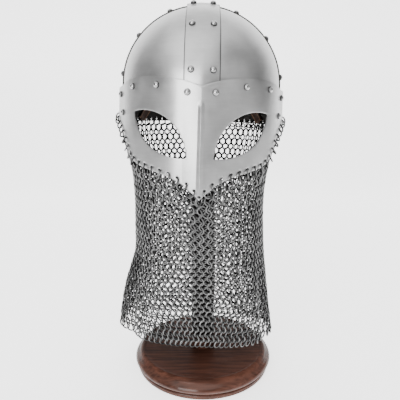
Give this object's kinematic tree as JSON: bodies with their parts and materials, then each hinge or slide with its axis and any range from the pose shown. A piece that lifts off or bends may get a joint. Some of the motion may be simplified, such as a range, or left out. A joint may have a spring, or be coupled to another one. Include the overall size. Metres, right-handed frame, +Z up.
{
  "type": "norse iron helmet with mail curtain and display stand",
  "caption": "Spectacle-masked dome helmet of riveted steel plates and bands with a hanging mail curtain, resting on a turned wooden display stand.",
  "frame": {"origin": "middle of the stand's underside", "axes": "+Z up; the mask looks along -Y; +X is to the right as seen in front of the mask"},
  "size_m": [0.2136, 0.2438, 0.4783],
  "materials": {
    "plate_steel": "satin ground steel",
    "band_steel": "satin ground steel",
    "rivet_steel": "polished domed heads",
    "mail_steel": "round steel wire rings, slightly dulled",
    "leather": "brown strap leather",
    "polished_wood": "dark red-brown stain under a gloss lacquer"
  },
  "bodies": {
    "root": {"skull_plate_front_left": "plate_steel", "skull_plate_back_left": "plate_steel", "skull_plate_front_right": "plate_steel", "skull_plate_back_right": "plate_steel", "lateral_band": "band_steel", "crest_band": "band_steel", "brow_band": "band_steel", "mask": "plate_steel", "liner_strap_left": "leather", "liner_strap_right": "leather", "crest_rivet_a1_1": "rivet_steel", "crest_rivet_a1_2": "rivet_steel", "crest_rivet_b1_1": "rivet_steel", "crest_rivet_b1_2": "rivet_steel", "crest_rivet_a2_1": "rivet_steel", "crest_rivet_a2_2": "rivet_steel", "crest_rivet_b2_1": "rivet_steel", "crest_rivet_b2_2": "rivet_steel", "crest_rivet_a3_1": "rivet_steel", "crest_rivet_a3_2": "rivet_steel", "crest_rivet_b3_1": "rivet_steel", "crest_rivet_b3_2": "rivet_steel", "lateral_rivet_a1_1": "rivet_steel", "lateral_rivet_a1_2": "rivet_steel", "lateral_rivet_b1_1": "rivet_steel", "lateral_rivet_b1_2": "rivet_steel", "lateral_rivet_a2_1": "rivet_steel", "lateral_rivet_a2_2": "rivet_steel", "lateral_rivet_b2_1": "rivet_steel", "lateral_rivet_b2_2": "rivet_steel", "lateral_rivet_a3_1": "rivet_steel", "lateral_rivet_a3_2": "rivet_steel", "lateral_rivet_b3_1": "rivet_steel", "lateral_rivet_b3_2": "rivet_steel", "nasal_rivet_left": "rivet_steel", "nasal_rivet_right": "rivet_steel", "brow_rivet_left": "rivet_steel", "brow_rivet_right": "rivet_steel", "temple_rivet_left": "rivet_steel", "temple_rivet_right": "rivet_steel", "upper_ear_rivet_left": "rivet_steel", "upper_ear_rivet_right": "rivet_steel", "lower_ear_rivet_left": "rivet_steel", "lower_ear_rivet_right": "rivet_steel", "back_rivet_1_left": "rivet_steel", "back_rivet_1_right": "rivet_steel", "back_rivet_2_left": "rivet_steel", "back_rivet_2_right": "rivet_steel", "back_rivet_3_left": "rivet_steel", "back_rivet_3_right": "rivet_steel", "back_rivet_4_left": "rivet_steel", "back_rivet_4_right": "rivet_steel", "mail_curtain": "mail_steel", "stand_base": "polished_wood", "stand_post": "polished_wood", "stand_cap": "polished_wood"}
  },
  "joints": []
}
